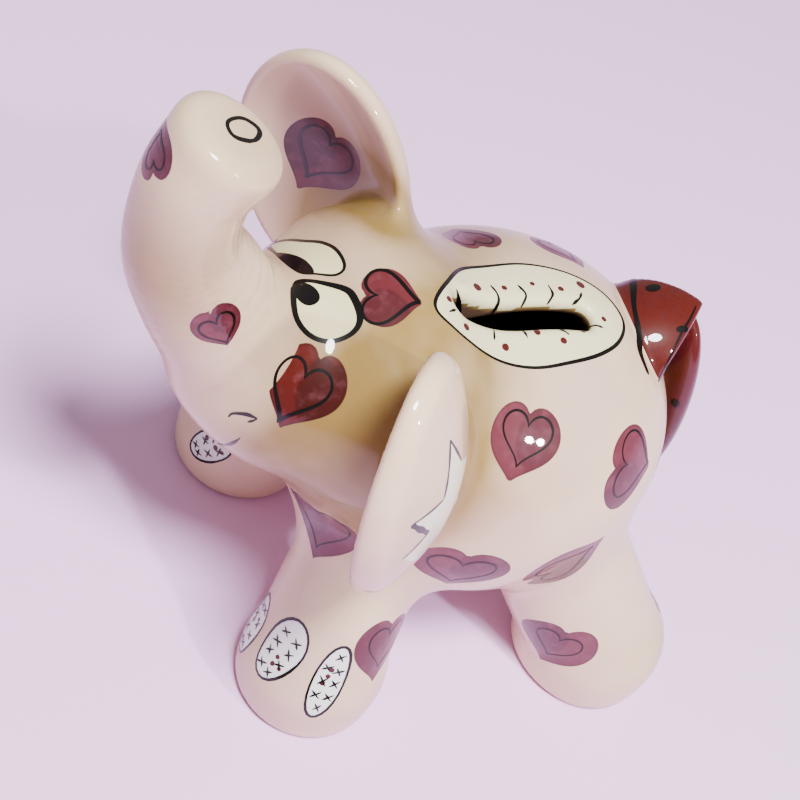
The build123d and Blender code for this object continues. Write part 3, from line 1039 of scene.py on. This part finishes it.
class BANK_OT_draw_hearts(bpy.types.Operator):
    """Draw the black hearts inside the washes with a liner brush"""

    bl_idname = "bank.draw_hearts"
    bl_label = "Draw the black hearts"

    def execute(self, context):
        rng = np.random.default_rng(11)
        marks = []
        for heart in HEARTS:
            spot = Spot(*heart.place_on, heart.turn)
            across, up, size = heart.ink
            line = heart_line(heart.width * size, heart.height * size, heart.lean)
            line = curve(wobble(line, 0.35, rng)) + (across * heart.width, up * heart.height)
            width = mm("line_width") * (1.7 if heart.tone > 0.5 else 1.0)
            marks.append(ribbon(spot, line, width, rng))
        paint_piece("heart_lines", marks, underglaze("black underglaze line", "ink"))
        return {"FINISHED"}


class BANK_OT_draw_face(bpy.types.Operator):
    """Draw the eyes, the smile and the ring on the end of the trunk"""

    bl_idname = "bank.draw_face"
    bl_label = "Draw the face"

    def execute(self, context):
        rng = np.random.default_rng(23)
        marks = []
        for name, (where, outline) in EYES.items():
            width = 1.25 if name == "near" else 0.8
            marks.append(ribbon(Spot(*where), curve(outline, True)[:-1], width, rng, closed=True))
        near, far = Spot(*EYES["near"][0]), Spot(*EYES["far"][0])
        marks.append(dab(near, round_mark((-4.9, -3.0), 2.9, rng, 24)))
        marks.append(dab(far, curve(((-2.6, -7.0), (-1.8, -4.0), (1.5, -0.9), (5.7, 0.4), (6.4, -3.0), (3.8, -5.4)), True)))
        mouth = Spot("head", 0.755, 0.094, 0.388)
        marks.append(ribbon(mouth, curve(((2.1, -5.9), (0.4, -0.7), (-1.7, 3.6), (-2.4, 4.8))), 0.7, rng))
        cheek = Spot("head", 0.775, 0.096, 0.579)
        marks.append(ribbon(cheek, curve(((-1.1, -3.4), (-1.6, -2.0), (-0.3, 0.5), (1.6, 1.9))), 0.9, rng))
        marks.append(ribbon(cheek, curve(((1.6, 1.9), (1.7, 0.9), (1.5, -0.4))), 0.9, rng))
        tip = Spot("trunk", 0.474, 0.42, 0.913, 27)
        ring = round_mark((0, 0), 1.0, rng, 28) * (2.6, 4.1)
        marks.append(ribbon(tip, ring, 1.0, rng, closed=True))
        paint_piece("face_lines", marks, underglaze("black underglaze face", "ink"))
        return {"FINISHED"}


class BANK_OT_draw_slot(bpy.types.Operator):
    """Draw the border, stitches and dots round the coin slot"""

    bl_idname = "bank.draw_slot"
    bl_label = "Draw the slot's surround"

    def execute(self, context):
        rng = np.random.default_rng(31)
        spot = Spot(*SLOT_SURROUND)
        marks = [ribbon(spot, curve(SLOT_OUTLINE, True)[:-1], 0.75, rng, closed=True)]
        marks += [ribbon(spot, curve(line, spacing=0.35), 0.6, rng) for line in SLOT_STITCHES]
        dots = [dab(spot, round_mark(middle, radius, rng), 2) for middle, radius in SLOT_DOTS]
        paint_piece("slot_lines", marks, underglaze("black underglaze border", "ink"))
        paint_piece("slot_dots", dots, underglaze("maroon underglaze slot dot", "oxblood", "maroon"))
        return {"FINISHED"}


class BANK_OT_draw_ear_patch(bpy.types.Operator):
    """Draw the bent line round the pale patch on the back of the left ear"""

    bl_idname = "bank.draw_ear_patch"
    bl_label = "Draw the ear's patch"

    def execute(self, context):
        rng = np.random.default_rng(41)
        spot = Spot(*EAR_PATCH)
        edge = np.array(EAR_PATCH_EDGE, float)
        widths = (0.6, 0.6, 1.3, 0.6)
        marks = [ribbon(spot, curve((a, (a + b) / 2, b)), width, rng, blunt=True)
                 for a, b, width in zip(edge[:-1], edge[1:], widths)]
        marks.append(ribbon(spot, curve((EAR_PATCH_REST[-1], edge[0] * 0.5 + np.array(EAR_PATCH_REST[-1]) * 0.5, edge[0])),
                            0.55, rng, blunt=True))
        paint_piece("ear_patch_lines", marks, underglaze("black underglaze ear line", "ink"))
        return {"FINISHED"}


# Drawn on the tail: lines and dots, each on its own spot of the tail.
TAIL_TOP = ("tail", 0.562, 0.229, 0.97)
TAIL_LINES = (
    (((-12.6, -0.4), (-9.9, -1.9), (-3.0, -5.1), (4.2, -6.8), (8.5, -8.2), (13.1, -7.6)), 1.3),
    (((0.6, 9.2), (3.6, 6.2), (6.6, 2.7), (11.2, -1.9), (13.4, -4.4)), 0.45),
)
TAIL_DOTS = (
    (("tail", 0.562, 0.229, 0.97), (-6.7, 1.4), (1.3, 1.9)),
    (("tail", 0.562, 0.229, 0.97), (5.6, 3.4), (0.8, 1.5)),
    (("tail", 0.918, 0.608, 0.606), (0.0, 0.0), (1.3, 1.2)),
    (("tail", 0.5, 0.97, 0.55), (0.0, 4.0), (1.3, 1.3)),
    (("tail", 0.5, 0.97, 0.3), (-1.0, 0.0), (1.2, 1.4)),
    (("tail", 0.1, 0.62, 0.55), (0.0, 0.0), (1.2, 1.3)),
)


class BANK_OT_draw_tail(bpy.types.Operator):
    """Draw the tail's thick edging, its fold line and its dots"""

    bl_idname = "bank.draw_tail"
    bl_label = "Draw the tail's lines and dots"

    def execute(self, context):
        rng = np.random.default_rng(43)
        top = Spot(*TAIL_TOP)
        marks = [ribbon(top, curve(line, spacing=0.5), width, rng, blunt=True) for line, width in TAIL_LINES]
        for where, middle, radii in TAIL_DOTS:
            marks.append(dab(Spot(*where), round_mark((0, 0), 1.0, rng) * radii + middle, 3))
        paint_piece("tail_lines", marks, underglaze("black underglaze tail mark", "ink"))
        return {"FINISHED"}


class BANK_OT_mould_stopper(bpy.types.Operator):
    """Mould the rubber stopper: a flange, a lipped plug with a hollow top, and a pull tab"""

    bl_idname = "bank.mould_stopper"
    bl_label = "Mould the stopper"

    def execute(self, context):
        points, triangles = cast(stopper, STOPPER_LOW, STOPPER_HIGH, 0.45)
        piece = solid_piece("moulded_stopper", points, triangles.tolist(), slope(points, stopper),
                            moulded_rubber(), "stopper")
        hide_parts("stopper")
        return {"FINISHED"}


class BANK_OT_draw_nails(bpy.types.Operator):
    """Draw the toenails' outlines, crosses and dots"""

    bl_idname = "bank.draw_nails"
    bl_label = "Draw the toenails"

    def execute(self, context):
        rng = np.random.default_rng(37)
        marks, dots = [], []
        for i, (where, turn, size) in enumerate(NAILS):
            spot = Spot(*where, turn)
            outline = nail_outline(size, np.random.default_rng(40 + i))
            marks.append(ribbon(spot, outline, 0.65, rng, closed=True))
            across, along = size[0] / 2, size[1] / 2
            for row in np.arange(-along + 2.6, along - 2.0, 3.6):
                room = across * np.sqrt(1 - (row / along) ** 2) - 1.4
                count = 2 if room > 1.6 else 1
                for x in np.linspace(-room * 0.62, room * 0.62, count) if count > 1 else (0.0,):
                    middle = np.array((x, row)) + rng.uniform(-0.3, 0.3, 2)
                    for angle in (rng.uniform(0.5, 0.9), rng.uniform(2.2, 2.6)):
                        reach = np.array((cos(angle), sin(angle))) * rng.uniform(1.2, 1.6)
                        marks.append(ribbon(spot, curve((middle - reach, middle, middle + reach)), 0.5, rng, blunt=True))
            for _ in range(3):
                angle, share = rng.uniform(0, 6.3), rng.uniform(0.2, 0.7)
                middle = np.array((cos(angle) * across, sin(angle) * along)) * share
                dots.append(dab(spot, round_mark(middle, rng.uniform(0.45, 0.75), rng), 2))
        paint_piece("nail_lines", marks, underglaze("black underglaze nail line", "ink"), layer=1.3)
        paint_piece("nail_dots", dots, underglaze("maroon underglaze nail dot", "maroon", "oxblood"))
        return {"FINISHED"}


class BANK_OT_set_stage(bpy.types.Operator):
    """Set the camera, the floor and soft studio light"""

    bl_idname = "bank.set_stage"
    bl_label = "Set the stage"

    def execute(self, context):
        stage = context.scene.bank_stage
        low, high = CAD_BOX
        aim = Vector(((low.x + high.x) / 2, (low.y + high.y) / 2, low.z)) + Vector(stage.aim)
        az, el = stage.azimuth, stage.elevation
        back = Vector((sin(az) * cos(el), -cos(az) * cos(el), sin(el)))
        camera = bpy.data.objects.new("camera", bpy.data.cameras.new("camera"))
        camera.data.lens = stage.lens
        camera.location = aim + back * stage.distance
        turn = Matrix.Rotation(stage.roll, 4, back)
        camera.rotation_euler = (turn.to_3x3() @ back.to_track_quat("Z", "Y").to_matrix()).to_euler()
        camera.data.clip_start, camera.data.clip_end = 0.01, 20
        context.scene.collection.objects.link(camera)
        context.scene.camera = camera

        floor_mesh = bpy.data.meshes.new("floor")
        reach = stage.floor_reach
        corners = [(-reach, -reach, 0), (reach, -reach, 0), (reach, reach, 0), (-reach, reach, 0)]
        floor_mesh.from_pydata(corners, [], [(0, 1, 2, 3)])
        floor = bpy.data.objects.new("floor", floor_mesh)
        context.scene.collection.objects.link(floor)
        material, tree = new_material("matt painted studio floor")
        shader = put(tree, "ShaderNodeBsdfPrincipled", {"Base Color": shade("floor"), "Roughness": 0.9})
        put(tree, "ShaderNodeOutputMaterial", {"Surface": shader.outputs["BSDF"]})
        floor_mesh.materials.append(material)

        world = bpy.data.worlds.new("studio air")
        world.use_nodes = True
        world.node_tree.nodes["Background"].inputs["Color"].default_value = shade("studio")
        world.node_tree.nodes["Background"].inputs["Strength"].default_value = 0.46
        context.scene.world = world

        middle = Vector((0, 0, 0.07))
        for name, direction, away_m, across_m, watts in LAMPS:
            lamp = bpy.data.lights.new(name, "AREA")
            lamp.shape = "DISK"
            lamp.size = across_m
            lamp.energy = watts
            light = bpy.data.objects.new(name, lamp)
            light.location = middle + Vector(direction).normalized() * away_m
            light.rotation_euler = Vector(direction).to_track_quat("Z", "Y").to_euler()
            context.scene.collection.objects.link(light)
        return {"FINISHED"}


# Each lamp: the way to it from the bank, how far it is and how wide, and its power in watts.
LAMPS = (
    ("softbox_key", (0.35, -0.1, 0.95), 1.0, 0.24, 24.0),
    ("softbox_side", (0.73, 0.33, 0.59), 0.9, 0.06, 7.0),
)


class BankStage(bpy.types.PropertyGroup):
    """The camera's place and the floor."""

    azimuth: angle("Azimuth", "Camera's angle round from the front", 50.8)
    elevation: angle("Elevation", "Camera's angle above the floor", 48.4)
    roll: angle("Roll", "Camera's tilt about its own line of sight", 28.1)
    distance: length("Distance", "From the camera to the point it aims at", 383.6)
    lens: FloatProperty(name="Lens", description="Focal length on a 36 mm sensor", default=73.8, unit="CAMERA")
    aim: FloatVectorProperty(
        name="Aim", description="Point aimed at, from the middle of the base", default=(-0.0036, -0.0001, 0.062),
        size=3, subtype="TRANSLATION",
    )
    floor_reach: length("Floor", "How far the floor reaches each way", 4000)


class BANK_PT_build(bpy.types.Panel):
    """Buttons for every step, with the sizes and colours they use"""

    bl_idname = "BANK_PT_build"
    bl_label = "Elephant bank"
    bl_space_type = "VIEW_3D"
    bl_region_type = "UI"
    bl_category = "Bank"

    def draw(self, context):
        for step in STEPS:
            self.layout.operator(step)
        for group in (context.scene.bank_sizes, context.scene.bank_colours, context.scene.bank_stage):
            box = self.layout.box()
            for name in type(group).__annotations__:
                box.prop(group, name)


# The steps in building order.
STEPS = (
    "bank.set_stage", "bank.cast_body", "bank.draw_hearts", "bank.draw_face", "bank.draw_slot",
    "bank.draw_ear_patch", "bank.draw_tail", "bank.draw_nails", "bank.mould_stopper",
)

CLASSES = (
    BankSizes, BankColours, BankStage, BANK_OT_set_stage, BANK_OT_cast_body, BANK_OT_draw_hearts,
    BANK_OT_draw_face, BANK_OT_draw_slot, BANK_OT_draw_ear_patch, BANK_OT_draw_tail, BANK_OT_draw_nails,
    BANK_OT_mould_stopper, BANK_PT_build,
)


def register():
    for cls in CLASSES:
        bpy.utils.register_class(cls)
    bpy.types.Scene.bank_sizes = PointerProperty(type=BankSizes)
    bpy.types.Scene.bank_colours = PointerProperty(type=BankColours)
    bpy.types.Scene.bank_stage = PointerProperty(type=BankStage)


def unregister():
    del bpy.types.Scene.bank_stage, bpy.types.Scene.bank_colours, bpy.types.Scene.bank_sizes
    for cls in reversed(CLASSES):
        bpy.utils.unregister_class(cls)


def main():
    register()
    bpy.ops.bank.set_stage()
    bpy.ops.bank.cast_body()
    bpy.ops.bank.draw_hearts()
    bpy.ops.bank.draw_face()
    bpy.ops.bank.draw_slot()
    bpy.ops.bank.draw_ear_patch()
    bpy.ops.bank.draw_tail()
    bpy.ops.bank.draw_nails()
    bpy.ops.bank.mould_stopper()


if __name__ == "__main__":
    main()
